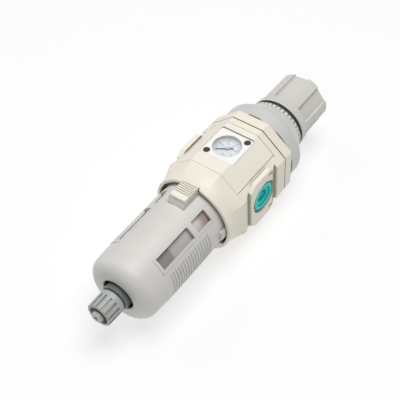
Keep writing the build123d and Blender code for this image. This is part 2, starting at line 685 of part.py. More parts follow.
with BuildPart() as bonnet:
    extrude(octagon(BONNET_BOTTOM), amount=FLANGE_TOP - FLANGE_SLOPE - BONNET_BOTTOM)
    fillet(bonnet.edges().filter_by(Axis.Z), radius=EDGE_ROUND)
    loft([octagon(FLANGE_TOP - FLANGE_SLOPE, 0.05).face(), octagon(FLANGE_TOP, FLANGE_SLOPE).face()])
    turned([(0, FLANGE_TOP - 1), (NECK_RADIUS, FLANGE_TOP - 1), (NECK_RADIUS, RING_TOP - 1.0),
            (20.2, COLLAR_TOP), (SPIGOT_RADIUS, COLLAR_TOP), (SPIGOT_RADIUS, SPIGOT_TOP), (0, SPIGOT_TOP)])
    turned([(0, BONNET_BOTTOM - 1), (21.5, BONNET_BOTTOM - 1), (21.5, 44.0), (17.6, 57.0), (17.6, 63.0),
            (0, 63.0)], mode=Mode.SUBTRACT)
    # guide ribs that keep the spring nut from turning
    for x_side in (-1, 1):
        for y_side in (-1, 1):
            rib_x = sorted((x_side * 14.5, x_side * 18.6))
            rib_y = sorted((y_side * 2.8, y_side * 4.4))
            block(rib_x, rib_y, (42.0, 63.5))
    for x_side in (-1, 1):
        for y_side in (-1, 1):
            rib_x = sorted((x_side * 18.0, x_side * 22.0))
            rib_y = sorted((y_side * 2.8, y_side * 4.4))
            block(rib_x, rib_y, (42.0, 48.0))
    turned([(0, 62), (SCREW_RADIUS + RUNNING_GAP, 62), (SCREW_RADIUS + RUNNING_GAP, 67), (0, 67)],
           mode=Mode.SUBTRACT)
    with BuildSketch(Plane.XY.offset(BONNET_BOTTOM - 1)) as clearance_holes:
        with PolarLocations(BONNET_SCREW_CIRCLE, 4, start_angle=45):
            Circle(2.1)
    extrude(clearance_holes.sketch, amount=FLANGE_TOP - BONNET_BOTTOM + 2, mode=Mode.SUBTRACT)
    # breather hole
    with BuildSketch(Plane.XZ.offset(-HALF_FRONT - 1)) as breather:
        with Locations((0, 31.0)):
            Circle(0.9)
    extrude(breather.sketch, amount=14, mode=Mode.SUBTRACT)
bonnet.part.label = "bonnet"
export_step(bonnet.part, "parts/bonnet.step")

with BuildPart() as bonnet_screws:
    with BuildSketch(Plane.XY.offset(16.0)) as screw_shanks:
        with PolarLocations(BONNET_SCREW_CIRCLE, 4, start_angle=45):
            Circle(SCREW_SHANK)
    extrude(screw_shanks.sketch, amount=FLANGE_TOP - 16.0)
    with BuildSketch(Plane.XY.offset(FLANGE_TOP)) as screw_heads:
        with PolarLocations(BONNET_SCREW_CIRCLE, 4, start_angle=45):
            Circle(SCREW_HEAD)
    extrude(screw_heads.sketch, amount=3.2)
    with BuildSketch(Plane.XY.offset(FLANGE_TOP + 1.2)) as key_sockets:
        with PolarLocations(BONNET_SCREW_CIRCLE, 4, start_angle=45):
            RegularPolygon(1.4, 6)
    extrude(key_sockets.sketch, amount=3, mode=Mode.SUBTRACT)
bonnet_screws.part.label = "bonnet_screws"
export_step(bonnet_screws.part, "parts/bonnet_screws.step")

with BuildPart() as bonnet_ring:
    turned([(30.1, RING_BOTTOM), (RING_RADIUS, RING_BOTTOM), (RING_RADIUS, RING_TOP), (25.15, RING_TOP),
            (25.15, RING_TOP - 1.4), (30.1, RING_TOP - 1.4)],
           rounds=[((RING_RADIUS, RING_TOP), 4.0), ((30.1, RING_TOP - 1.4), 2.6)])
    # breather slits, one over the middle of each side of the octagon
    for side in range(8):
        sector(RING_BOTTOM - 0.1, SLIT_HEIGHT + 0.1, 29.0, RING_RADIUS + 1, side * 45, 9.5,
               mode=Mode.SUBTRACT)
bonnet_ring.part.label = "bonnet_ring"
export_step(bonnet_ring.part, "parts/bonnet_ring.step")

with BuildPart() as bonnet_collar:
    turned([(25.3, RING_TOP), (27.8, RING_TOP), (27.6, RING_TOP + 1.6), (22.9, TOOTH_BOTTOM),
            (21.6, TOOTH_BOTTOM + 0.3), (21.3, COLLAR_TOP), (20.4, COLLAR_TOP), (25.3, RING_TOP + 0.6)],
           rounds=[((27.6, RING_TOP + 1.6), 3.0)])
    for tooth in range(TEETH):
        sector(TOOTH_BOTTOM, COLLAR_TOP + 0.5 - TOOTH_BOTTOM, 21.3, 22.4, tooth * 360 / TEETH, 3.5)
bonnet_collar.part.label = "bonnet_collar"
export_step(bonnet_collar.part, "parts/bonnet_collar.step")

with BuildPart() as lock_ring:
    turned([(SPIGOT_RADIUS, COLLAR_TOP + 0.05), (20.2, COLLAR_TOP + 0.05), (20.2, COLLAR_TOP + 0.7),
            (LOCK_RING_RADIUS, COLLAR_TOP + 0.8), (LOCK_RING_RADIUS, LOCK_RING_TOP - 0.4),
            (LOCK_RING_RADIUS - 0.4, LOCK_RING_TOP), (SPIGOT_RADIUS, LOCK_RING_TOP)])
lock_ring.part.label = "lock_ring"
export_step(lock_ring.part, "parts/lock_ring.step")

# ---------------------------------------------------------------- pressure adjustment

with BuildPart() as adjusting_screw:
    turned([(0, SCREW_FOOT), (SCREW_RADIUS - 0.6, SCREW_FOOT), (SCREW_RADIUS, SCREW_FOOT + 0.6),
            (SCREW_RADIUS, SCREW_COLLAR[0]), (7.5, SCREW_COLLAR[0]), (7.5, SCREW_COLLAR[1]),
            (SCREW_RADIUS, SCREW_COLLAR[1]), (SCREW_RADIUS, HEX_BOTTOM), (0, HEX_BOTTOM)])
    with BuildSketch(Plane.XY.offset(HEX_BOTTOM)) as hexagon:
        RegularPolygon(HEX_ACROSS / 2, 6, major_radius=False)
    extrude(hexagon.sketch, amount=HEX_LENGTH)
adjusting_screw.part.label = "adjusting_screw"
export_step(adjusting_screw.part, "parts/adjusting_screw.step")

with BuildPart() as spring_nut:
    turned([(SCREW_RADIUS + RUNNING_GAP, NUT_BOTTOM - 2.0), (7.0, NUT_BOTTOM - 2.0), (7.0, NUT_BOTTOM),
            (13.0, NUT_BOTTOM), (13.0, NUT_TOP), (SCREW_RADIUS + RUNNING_GAP, NUT_TOP)])
    for x_side in (-1, 1):
        ear = sorted((x_side * 10.0, x_side * 16.4))
        block(ear, (-2.5, 2.5), (NUT_BOTTOM, NUT_TOP))
spring_nut.part.label = "spring_nut"
export_step(spring_nut.part, "parts/spring_nut.step")

with BuildPart() as adjusting_spring:
    coil(SPRING_RADIUS, SPRING_WIRE, SPRING_SEAT, NUT_BOTTOM, 5)
adjusting_spring.part.label = "adjusting_spring"
export_step(adjusting_spring.part, "parts/adjusting_spring.step")

with BuildPart() as knob:
    turned([(0, KNOB_BOTTOM), (KNOB_RIM_RADIUS, KNOB_BOTTOM), (KNOB_RIM_RADIUS, KNOB_BOTTOM + 1.8),
            (KNOB_RIB_RADIUS, KNOB_SKIRT_TOP), (KNOB_RIB_RADIUS - 0.3, KNOB_TOP), (0, KNOB_TOP)],
           rounds=[((KNOB_RIM_RADIUS, KNOB_BOTTOM), 0.35), ((KNOB_RIM_RADIUS, KNOB_BOTTOM + 1.8), 3.0),
                   ((KNOB_RIB_RADIUS - 0.3, KNOB_TOP), 1.2)])
    # flats between the ribs
    gap_slope = tan(radians((360 / KNOB_RIBS - KNOB_RIB_ANGLE) / 2))
    gap_outline = [(radius, side * radius * gap_slope)
                   for radius, side in ((KNOB_FLAT, -1), (KNOB_RIM_RADIUS + 3, -1),
                                        (KNOB_RIM_RADIUS + 3, 1), (KNOB_FLAT, 1))]
    with BuildSketch(Plane.XY.offset(KNOB_SKIRT_TOP)) as gaps:
        with PolarLocations(0, KNOB_RIBS, start_angle=KNOB_FIRST_RIB + 180 / KNOB_RIBS):
            Polygon(*gap_outline, align=None)
    extrude(gaps.sketch, amount=KNOB_TOP - KNOB_SKIRT_TOP + 1, mode=Mode.SUBTRACT)
    turned([(0, KNOB_BOTTOM - 1), (KNOB_MOUTH, KNOB_BOTTOM - 1), (KNOB_MOUTH, KNOB_BOTTOM + 3.6),
            (19.9, 69.6), (17.0, 70.6), (KNOB_INNER, 76.0), (KNOB_INNER, KNOB_TOP - 2.7),
            (0, KNOB_TOP - 2.7)],
           mode=Mode.SUBTRACT)
    with BuildSketch(Plane.XY.offset(73.0)) as hub_boss:
        Circle(7.2)
        RegularPolygon(HEX_ACROSS / 2 + RUNNING_GAP, 6, major_radius=False, mode=Mode.SUBTRACT)
    extrude(hub_boss.sketch, amount=25.5)
knob.part.label = "knob"
export_step(knob.part, "parts/knob.step")

# ---------------------------------------------------------------- filter

with BuildPart() as louver:
    turned([(ELEMENT_BORE, -40.0), (LOUVER_RADIUS, -40.0), (LOUVER_RADIUS, -42.0), (13.0, -42.0),
            (12.6, ELEMENT_TOP + 1.4), (17.2, ELEMENT_TOP + 1.4), (17.2, ELEMENT_TOP),
            (ELEMENT_BORE, ELEMENT_TOP)])
    # slanted vanes that set the air spinning
    for vane in range(12):
        angle = vane * 30
        vane_x = 15.8 * cos(radians(angle))
        vane_y = 15.8 * sin(radians(angle))
        vane_plane = Plane(origin=(vane_x, vane_y, -46.3),
                           x_dir=(cos(radians(angle)), sin(radians(angle)), 0),
                           z_dir=(-sin(radians(angle)) * 0.82, cos(radians(angle)) * 0.82, 0.57))
        with BuildSketch(vane_plane.offset(-0.5)) as vane_face:
            Rectangle(7.4, 10.2)
        extrude(vane_face.sketch, amount=1.0)
    turned([(19.6, -60), (40, -60), (40, -30), (LOUVER_RADIUS, -30), (LOUVER_RADIUS, -42.0), (19.6, -42.0)],
           mode=Mode.SUBTRACT)
    turned([(0, -60), (ELEMENT_BORE, -60), (ELEMENT_BORE, -30), (0, -30)], mode=Mode.SUBTRACT)
    # spigot that seals against the valve guide
    turned([(6.6, -40.0), (ELEMENT_BORE + 1, -40.0), (ELEMENT_BORE + 1, -30.0), (6.6, -30.0)])
    turned([(9.0, -60), (ELEMENT_BORE, -60), (ELEMENT_BORE, -41), (9.0, -41)], mode=Mode.SUBTRACT)
louver.part.label = "louver"
export_step(louver.part, "parts/louver.step")

with BuildPart() as filter_element:
    turned([(ELEMENT_BORE, ELEMENT_BOTTOM), (ELEMENT_RADIUS, ELEMENT_BOTTOM), (ELEMENT_RADIUS, ELEMENT_TOP),
            (ELEMENT_BORE, ELEMENT_TOP)])
filter_element.part.label = "filter_element"
export_step(filter_element.part, "parts/filter_element.step")

with BuildPart() as baffle:
    turned([(2.7, -86.0), (17.5, -86.0), (19.0, -90.0), (18.2, -90.0), (16.8, -87.4), (2.7, -87.4)])
    turned([(2.7, -86.5), (ELEMENT_BORE - 0.3, -86.5), (ELEMENT_BORE - 0.3, ELEMENT_BOTTOM + 3.0),
            (8.4, ELEMENT_BOTTOM + 3.0), (8.4, -85.0), (2.7, -85.0)])
    turned([(ELEMENT_BORE - 0.4, -86.5), (17.5, -86.5), (17.5, ELEMENT_BOTTOM),
            (ELEMENT_BORE - 0.4, ELEMENT_BOTTOM)])
baffle.part.label = "baffle"
export_step(baffle.part, "parts/baffle.step")

with BuildPart() as element_bolt:
    turned([(0, -91.0), (4.6, -91.0), (4.6, -87.4), (2.6, -87.4), (2.6, -27.0), (0, -27.0)])
    with BuildSketch(Plane.XY.offset(-91.5)) as driver_slot:
        Rectangle(10, 1.2)
    extrude(driver_slot.sketch, amount=1.9, mode=Mode.SUBTRACT)
element_bolt.part.label = "element_bolt"
export_step(element_bolt.part, "parts/element_bolt.step")

# ---------------------------------------------------------------- bowl and guard

with BuildPart() as bowl:
    turned([(DRAIN_HOLE, BOWL_BOTTOM), (BOWL_RADIUS, BOWL_BOTTOM), (BOWL_RADIUS, BOWL_TOP),
            (BOWL_INNER, BOWL_TOP),
            (BOWL_INNER, BOWL_FLOOR), (DRAIN_HOLE, BOWL_FLOOR)],
           rounds=[((BOWL_RADIUS, BOWL_BOTTOM), 7.0), ((BOWL_INNER, BOWL_FLOOR), 5.0)])
    # groove for the bowl seal
    turned([(22.1, -31.4), (24.5, -31.4), (24.5, -29.4), (22.1, -29.4)], mode=Mode.SUBTRACT)
bowl.part.label = "bowl"
export_step(bowl.part, "parts/bowl.step")

with BuildPart() as bowl_o_ring:
    o_ring(22.98, 0.86, -30.4)
bowl_o_ring.part.label = "bowl_o_ring"
export_step(bowl_o_ring.part, "parts/bowl_o_ring.step")

with BuildPart() as bowl_guard:
    turned([(GUARD_HOLE, GUARD_BOTTOM), (25.2, GUARD_BOTTOM), (GUARD_RADIUS, -104.0),
            (GUARD_RADIUS, GUARD_TOP), (GUARD_INNER, GUARD_TOP), (GUARD_INNER, -104.0), (23.5, -118.8),
            (GUARD_HOLE, -118.8)],
           rounds=[((25.2, GUARD_BOTTOM), 8.5), ((23.5, -118.8), 6.8), ((GUARD_HOLE, GUARD_BOTTOM), 0.6),
                   ((GUARD_RADIUS, GUARD_TOP), 0.6)])
    # raised frames round the windows
    for angle in WINDOW_ANGLES:
        sector(LOWER_WINDOW[0] - 2.2, UPPER_WINDOW[1] - LOWER_WINDOW[0] + 4.0, GUARD_RADIUS - 0.6,
               GUARD_RADIUS + 0.35, angle, WINDOW_HALF_ANGLE + 3.4)
    for angle in WINDOW_ANGLES:
        for bottom, top in (LOWER_WINDOW, UPPER_WINDOW):
            sector(bottom, top - bottom, GUARD_INNER - 1, GUARD_RADIUS + 1, angle, WINDOW_HALF_ANGLE,
                   mode=Mode.SUBTRACT)
    # finger ribs on both sides
    for angle in (0, 180):
        for rib in range(FINGER_RIBS):
            sector(FINGER_RIB_BOTTOM + rib * FINGER_RIB_PITCH, FINGER_RIB_PITCH / 2, GUARD_RADIUS - 0.4,
                   GUARD_RADIUS + 0.45, angle, 25)
    # bayonet lugs
    for angle in (0, 180):
        sector(-45.5, 10.5, GUARD_RADIUS - 0.4, LUG_RADIUS, angle, 8)
    for angle in (90, 270):
        sector(-38.0, 3.0, GUARD_RADIUS - 0.4, LUG_RADIUS, angle, 11)
    # boss that carries the lock button, with a cavity for its tongue and spring
    with BuildSketch(Plane.YZ.offset(-BOSS_HALF)) as boss_profile:
        with BuildLine():
            Polyline((-25.0, BOSS_BOTTOM), (-26.2, BOSS_BOTTOM), (BOSS_FACE, BOSS_BOTTOM + 1.8),
                     (BOSS_FACE, BOSS_TOP), (-25.0, BOSS_TOP), close=True)
        make_face()
    extrude(boss_profile.sketch, amount=2 * BOSS_HALF)
    block((-TONGUE_HALF - 0.3, TONGUE_HALF + 0.3), (BOSS_FACE - 1, TONGUE_BACK + 0.3),
          (CAVITY_BOTTOM, BOSS_TOP + 1), mode=Mode.SUBTRACT)
bowl_guard.part.label = "bowl_guard"
export_step(bowl_guard.part, "parts/bowl_guard.step")

with BuildPart() as lock_button:
    block((-BUTTON_HALF, BUTTON_HALF), (BUTTON_FACE, BUTTON_BACK), (BUTTON_BOTTOM, BUTTON_TOP))
    plate_edges = lock_button.edges().filter_by(Axis.Z).group_by(Axis.Y)[0]
    foot_edges = lock_button.edges().filter_by(Axis.X).group_by(Axis.Z)[0].group_by(Axis.Y)[0]
    fillet(plate_edges + foot_edges, radius=0.9)
    # finger ridges
    for ridge in range(BUTTON_RIDGES):
        groove_level = BUTTON_TOP - 2.0 - ridge * RIDGE_PITCH
        block((-BUTTON_HALF - 1, BUTTON_HALF + 1), (BUTTON_FACE - 1, BUTTON_FACE + 0.6),
              (groove_level - 0.35, groove_level + 0.35), mode=Mode.SUBTRACT)
    # tongue in the guard's boss, with a pocket for the return spring
    block((-TONGUE_HALF, TONGUE_HALF), (BUTTON_BACK - 0.5, TONGUE_BACK), (TONGUE_BOTTOM, BOSS_TOP - 0.5))
    with BuildSketch(Plane.XY.offset(TONGUE_BOTTOM)) as spring_pocket:
        with Locations((0, LOCK_SPRING_Y)):
            Circle(1.1)
    extrude(spring_pocket.sketch, amount=LOCK_SPRING_TOP - TONGUE_BOTTOM, mode=Mode.SUBTRACT)
lock_button.part.label = "lock_button"
export_step(lock_button.part, "parts/lock_button.step")

with BuildPart() as lock_spring:
    coil(0.75, 0.18, CAVITY_BOTTOM, LOCK_SPRING_TOP, 9, centre=(0, LOCK_SPRING_Y))
lock_spring.part.label = "lock_spring"
export_step(lock_spring.part, "parts/lock_spring.step")

# ---------------------------------------------------------------- drain cock

with BuildPart() as drain_body:
    turned([(STEM_RADIUS + RUNNING_GAP, -125.4), (5.9, -125.4), (5.9, BOWL_BOTTOM),
            (DRAIN_HOLE, BOWL_BOTTOM), (DRAIN_HOLE, BOWL_FLOOR), (8.6, BOWL_FLOOR), (8.6, -108.4),
            (6.4, -106.8),
            (STEM_RADIUS + RUNNING_GAP, -106.8)])
drain_body.part.label = "drain_body"
export_step(drain_body.part, "parts/drain_body.step")

with BuildPart() as drain_seal:
    turned([(DRAIN_HOLE, -113.6), (8.8, -113.6), (8.8, BOWL_BOTTOM), (DRAIN_HOLE, BOWL_BOTTOM)])
drain_seal.part.label = "drain_seal"
export_step(drain_seal.part, "parts/drain_seal.step")

with BuildPart() as drain_collar:
    turned([(5.9, DRAIN_COLLAR_BOTTOM), (9.2, DRAIN_COLLAR_BOTTOM), (9.9, DRAIN_COLLAR_BOTTOM + 0.7),
            (9.9, -114.6), (8.9, -113.6), (5.9, -113.6)])
drain_collar.part.label = "drain_collar"
export_step(drain_collar.part, "parts/drain_collar.step")

with BuildPart() as drain_knob:
    turned([(STEM_RADIUS + RUNNING_GAP, -128.6), (7.0, -128.6), (7.0, DRAIN_KNOB_BOTTOM),
            (8.6, DRAIN_KNOB_BOTTOM), (DRAIN_KNOB_RADIUS, DRAIN_KNOB_BOTTOM + 0.6),
            (DRAIN_KNOB_RADIUS + 0.2, -125.6), (8.4, -124.4), (6.0, -124.4),
            (6.0, -125.7), (STEM_RADIUS + RUNNING_GAP, -125.7)])
    with BuildSketch(Plane.XY.offset(DRAIN_KNOB_BOTTOM - 1)) as flutes:
        with PolarLocations(DRAIN_KNOB_RADIUS + 0.1, DRAIN_FLUTES, start_angle=8):
            Rectangle(1.5, 1.3)
    extrude(flutes.sketch, amount=11.6, mode=Mode.SUBTRACT)
drain_knob.part.label = "drain_knob"
export_step(drain_knob.part, "parts/drain_knob.step")

with BuildPart() as drain_stem:
    turned([(NIPPLE_BORE, NIPPLE_BOTTOM), (3.6, NIPPLE_BOTTOM), (4.2, -140.6), (4.2, -139.6), (3.4, -138.6),
            (3.4, -131.2), (STEM_RADIUS, -130.6), (STEM_RADIUS, -106.7), (5.2, -106.7), (5.2, STEM_HEAD),
            (DRAIN_BORE, STEM_HEAD), (DRAIN_BORE, NIPPLE_BORE_TOP), (NIPPLE_BORE, NIPPLE_BORE_TOP)])
drain_stem.part.label = "drain_stem"
export_step(drain_stem.part, "parts/drain_stem.step")
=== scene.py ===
import math

import bmesh
import bpy
from mathutils import Matrix, Vector


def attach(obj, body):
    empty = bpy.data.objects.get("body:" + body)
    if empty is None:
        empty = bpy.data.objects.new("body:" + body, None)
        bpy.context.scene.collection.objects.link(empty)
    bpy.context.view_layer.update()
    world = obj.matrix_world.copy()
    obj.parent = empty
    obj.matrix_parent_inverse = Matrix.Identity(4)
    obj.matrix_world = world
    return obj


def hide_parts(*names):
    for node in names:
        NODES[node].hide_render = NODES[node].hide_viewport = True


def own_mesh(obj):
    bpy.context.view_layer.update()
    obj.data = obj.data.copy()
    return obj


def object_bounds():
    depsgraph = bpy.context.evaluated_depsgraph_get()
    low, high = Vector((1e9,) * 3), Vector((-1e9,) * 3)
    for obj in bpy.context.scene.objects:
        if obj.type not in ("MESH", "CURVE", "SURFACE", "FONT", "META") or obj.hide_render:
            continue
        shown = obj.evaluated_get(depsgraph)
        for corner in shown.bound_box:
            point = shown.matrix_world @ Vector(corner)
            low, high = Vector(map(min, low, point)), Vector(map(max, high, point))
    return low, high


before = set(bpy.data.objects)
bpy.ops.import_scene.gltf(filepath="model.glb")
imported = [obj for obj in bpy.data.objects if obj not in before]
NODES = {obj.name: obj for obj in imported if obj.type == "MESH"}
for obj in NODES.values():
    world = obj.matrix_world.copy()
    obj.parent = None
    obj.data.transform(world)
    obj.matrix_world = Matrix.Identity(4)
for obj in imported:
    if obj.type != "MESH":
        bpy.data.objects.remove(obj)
cad_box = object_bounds()

LOW, HIGH = Vector(cad_box[0]), Vector(cad_box[1])

# ------------------------------------------------------------------ camera

VIEW_AZIMUTH = math.radians(28.82)
VIEW_ELEVATION = math.radians(-30.57)
VIEW_ROLL = math.radians(43.22)
VIEW_DISTANCE = 0.6311
VIEW_TARGET = Vector((-0.00886, 0.00916, -0.02089))
LENS = 80.9


def add_camera():
    """The photograph's view, from the front right and below, rolled so that the object lies aslant."""
    back = Vector((math.sin(VIEW_AZIMUTH) * math.cos(VIEW_ELEVATION),
                   -math.cos(VIEW_AZIMUTH) * math.cos(VIEW_ELEVATION),
                   math.sin(VIEW_ELEVATION)))
    level_right = Vector((math.cos(VIEW_AZIMUTH), math.sin(VIEW_AZIMUTH), 0))
    level_up = back.cross(level_right)
    right = math.cos(VIEW_ROLL) * level_right + math.sin(VIEW_ROLL) * level_up
    up = -math.sin(VIEW_ROLL) * level_right + math.cos(VIEW_ROLL) * level_up
    data = bpy.data.cameras.new("view")
    data.lens = LENS
    data.clip_start = 0.01
    data.clip_end = 20
    camera = bpy.data.objects.new("view", data)
    bpy.context.scene.collection.objects.link(camera)
    turn = Matrix((right, up, back)).transposed().to_4x4()
    camera.matrix_world = Matrix.Translation(VIEW_TARGET + back * VIEW_DISTANCE) @ turn
    bpy.context.scene.camera = camera


add_camera()

# ------------------------------------------------------------------ node helpers


class Shader:
    """A material with a Principled shader, and short calls to add and link its nodes."""

    def __init__(self, name):
        self.material = bpy.data.materials.new(name)
        self.material.use_nodes = True
        self.tree = self.material.node_tree
        self.tree.nodes.clear()
        output = self.tree.nodes.new("ShaderNodeOutputMaterial")
        self.surface = self.tree.nodes.new("ShaderNodeBsdfPrincipled")
        self.tree.links.new(self.surface.outputs["BSDF"], output.inputs["Surface"])
        self.coordinates = self.tree.nodes.new("ShaderNodeTexCoord").outputs["Object"]

    def node(self, kind, **settings):
        made = self.tree.nodes.new(kind)
        for key, value in settings.items():
            setattr(made, key, value)
        return made

    def feed(self, socket, value):
        """Links an output to a socket, or sets a plain value on it."""
        if isinstance(value, bpy.types.NodeSocket):
            self.tree.links.new(value, socket)
        else:
            socket.default_value = value

    def noise(self, scale, detail=3.0, roughness=0.55, stretch=None, distortion=0.0):
        texture = self.node("ShaderNodeTexNoise")
        self.feed(texture.inputs["Scale"], scale)
        self.feed(texture.inputs["Detail"], detail)
        self.feed(texture.inputs["Roughness"], roughness)
        self.feed(texture.inputs["Distortion"], distortion)
        coordinates = self.coordinates
        if stretch:
            mapping = self.node("ShaderNodeMapping")
            mapping.inputs["Scale"].default_value = stretch
            self.feed(mapping.inputs["Vector"], coordinates)
            coordinates = mapping.outputs["Vector"]
        self.feed(texture.inputs["Vector"], coordinates)
        return texture.outputs["Fac"]

    def spread(self, value, low, high, to_low=0.0, to_high=1.0):
        """Maps a value's range onto another range, held at both ends."""
        mapped = self.node("ShaderNodeMapRange")
        mapped.clamp = True
        for socket, number in zip(("From Min", "From Max", "To Min", "To Max"), (low, high, to_low, to_high)):
            mapped.inputs[socket].default_value = number
        self.feed(mapped.inputs["Value"], value)
        return mapped.outputs["Result"]

    def height(self):
        """The height on the object, in metres."""
        split = self.node("ShaderNodeSeparateXYZ")
        self.feed(split.inputs["Vector"], self.coordinates)
        return split.outputs["Z"]

    def math(self, operation, first, second=0.0):
        made = self.node("ShaderNodeMath", operation=operation)
        self.feed(made.inputs[0], first)
        self.feed(made.inputs[1], second)
        return made.outputs["Value"]

    def blend(self, amount, first, second, mode="MIX"):
        mixed = self.node("ShaderNodeMix", data_type="RGBA", blend_type=mode)
        self.feed(mixed.inputs["Factor"], amount)
        self.feed(mixed.inputs["A"], first)
        self.feed(mixed.inputs["B"], second)
        return mixed.outputs["Result"]

    def rounded(self, radius):
        """A surface normal that rounds the sharp edges, as a mould does."""
        bevel = self.node("ShaderNodeBevel", samples=4)
        bevel.inputs["Radius"].default_value = radius
        return bevel.outputs["Normal"]

    def edge_mask(self, rounded_normal, start=0.01, end=0.12):
        """1 on sharp edges and 0 on open surfaces."""
        geometry = self.node("ShaderNodeNewGeometry")
        product = self.node("ShaderNodeVectorMath", operation="DOT_PRODUCT")
        self.feed(product.inputs[0], geometry.outputs["Normal"])
        self.feed(product.inputs[1], rounded_normal)
        turned = self.math("SUBTRACT", 1.0, product.outputs["Value"])
        return self.spread(turned, start, end)

    def shade_in_crevices(self, reach):
        """Ambient occlusion as a mask for painted shade: 1 in narrow gaps and corners, 0 in the open."""
        occlusion = self.node("ShaderNodeAmbientOcclusion", samples=6)
        occlusion.inputs["Distance"].default_value = reach
        return self.spread(occlusion.outputs["AO"], 0.85, 0.3)

    def bump(self, height, distance, strength=1.0, normal=None):
        made = self.node("ShaderNodeBump")
        made.inputs["Distance"].default_value = distance
        made.inputs["Strength"].default_value = strength
        self.feed(made.inputs["Height"], height)
        if normal is not None:
            self.feed(made.inputs["Normal"], normal)
        return made.outputs["Normal"]


def rgba(colour, gain=1.0):
    return (min(colour[0] * gain, 1), min(colour[1] * gain, 1), min(colour[2] * gain, 1), 1)


def moulded(name, colour, roughness=0.48, grain=2600, grain_height=0.00002, variation=0.05, wear_and_highlight=0.3,
            gap_shade=0.55, edge_radius=0.0004, gap_shade_reach=0.0035, specular=0.45):
    """Moulded plastic or even paint: fine grain, slow colour variation, edges lighter as wear and painted
    highlight, painted shade in gaps.
    """
    shader = Shader(name)
    surface = shader.surface
    slow = shader.spread(shader.noise(22, 4), 0.3, 0.7)
    speckle = shader.spread(shader.noise(grain * 0.35, 2), 0.35, 0.65)
    fine = shader.noise(grain, 3, 0.6)
    base = shader.blend(slow, rgba(colour, 1 - variation), rgba(colour, 1 + variation))
    base = shader.blend(shader.math("MULTIPLY", speckle, 0.10), base, rgba(colour, 0.86))
    normal = shader.rounded(edge_radius)
    # Painted highlight and wear: sharp edges lightened towards white.
    edges = shader.math("MULTIPLY", shader.edge_mask(normal), wear_and_highlight)
    base = shader.blend(edges, base, rgba([c * 0.55 + 0.45 for c in colour]))
    # Painted shade: darker where ambient occlusion finds narrow gaps and corners.
    gaps = shader.math("MULTIPLY", shader.shade_in_crevices(gap_shade_reach), gap_shade)
    base = shader.blend(gaps, base, rgba([colour[0] * 0.34, colour[1] * 0.32, colour[2] * 0.28]))
    shader.feed(surface.inputs["Base Color"], base)
    rough = shader.spread(shader.noise(60, 5), 0.25, 0.75, roughness - 0.07, roughness + 0.09)
    shader.feed(surface.inputs["Roughness"], rough)
    surface.inputs["Specular IOR Level"].default_value = specular
    shader.feed(surface.inputs["Normal"], shader.bump(fine, grain_height, 0.6, normal))
    return shader.material


def metal(name, colour, roughness=0.3, lines=(1, 1, 1), wear_and_highlight=0.4, edge_radius=0.00025):
    """Turned, drawn or plated metal: fine tool lines, uneven polish, edges lighter as wear and painted
    highlight, painted shade in recesses.
    """
    shader = Shader(name)
    surface = shader.surface
    tool_marks = shader.noise(900, 4, 0.7, stretch=lines)
    cloud = shader.spread(shader.noise(120, 4), 0.3, 0.7)
    base = shader.blend(cloud, rgba(colour, 0.86), rgba(colour, 1.08))
    normal = shader.rounded(edge_radius)
    # Painted highlight and wear: sharp edges lightened towards white.
    base = shader.blend(shader.math("MULTIPLY", shader.edge_mask(normal), wear_and_highlight), base,
                        rgba([c * 0.6 + 0.4 for c in colour]))
    # Painted shade: darker in recesses found by ambient occlusion.
    base = shader.blend(shader.math("MULTIPLY", shader.shade_in_crevices(0.002), 0.6), base, rgba(colour, 0.3))
    shader.feed(surface.inputs["Base Color"], base)
    surface.inputs["Metallic"].default_value = 1.0
    rough = shader.spread(tool_marks, 0.3, 0.7, roughness - 0.08, roughness + 0.14)
    shader.feed(surface.inputs["Roughness"], rough)
    shader.feed(surface.inputs["Normal"], shader.bump(tool_marks, 0.00001, 0.5, normal))
    return shader.material


NEEDLE_AXIS_HEIGHT = 0.00125
HUB_RADIUS = 0.001


def pointer(name, colour, hub_colour):
    """Painted pointer with a pale pressed hub round its axis."""
    shader = Shader(name)
    flat = shader.node("ShaderNodeVectorMath", operation="MULTIPLY")
    shader.feed(flat.inputs[0], shader.coordinates)
    flat.inputs[1].default_value = (1, 0, 1)
    away = shader.node("ShaderNodeVectorMath", operation="DISTANCE")
    shader.feed(away.inputs[0], flat.outputs["Vector"])
    away.inputs[1].default_value = (0, 0, NEEDLE_AXIS_HEIGHT)
    grain = shader.spread(shader.noise(900, 3), 0.3, 0.7)
    paint = shader.blend(grain, rgba(colour, 0.85), rgba(colour, 1.2))
    pressed = shader.blend(grain, rgba(hub_colour, 0.92), rgba(hub_colour, 1.05))
    hub = shader.spread(away.outputs["Value"], HUB_RADIUS * 1.15, HUB_RADIUS)
    shader.feed(shader.surface.inputs["Base Color"], shader.blend(hub, paint, pressed))
    shader.feed(shader.surface.inputs["Roughness"], shader.spread(grain, 0, 1, 0.35, 0.5))
    shader.feed(shader.surface.inputs["Normal"], shader.bump(grain, 0.00001, 0.4, shader.rounded(0.0001)))
    return shader.material


def rubber(name, colour=(0.035, 0.035, 0.037)):
    shader = Shader(name)
    base = shader.blend(shader.spread(shader.noise(260, 4), 0.35, 0.7), rgba(colour), rgba(colour, 1.9))
    shader.feed(shader.surface.inputs["Base Color"], base)
    shader.feed(shader.surface.inputs["Roughness"], shader.spread(shader.noise(400, 3), 0.3, 0.7, 0.55, 0.8))
    shader.feed(shader.surface.inputs["Normal"], shader.bump(shader.noise(3000, 3), 0.00002, 0.5))
    return shader.material


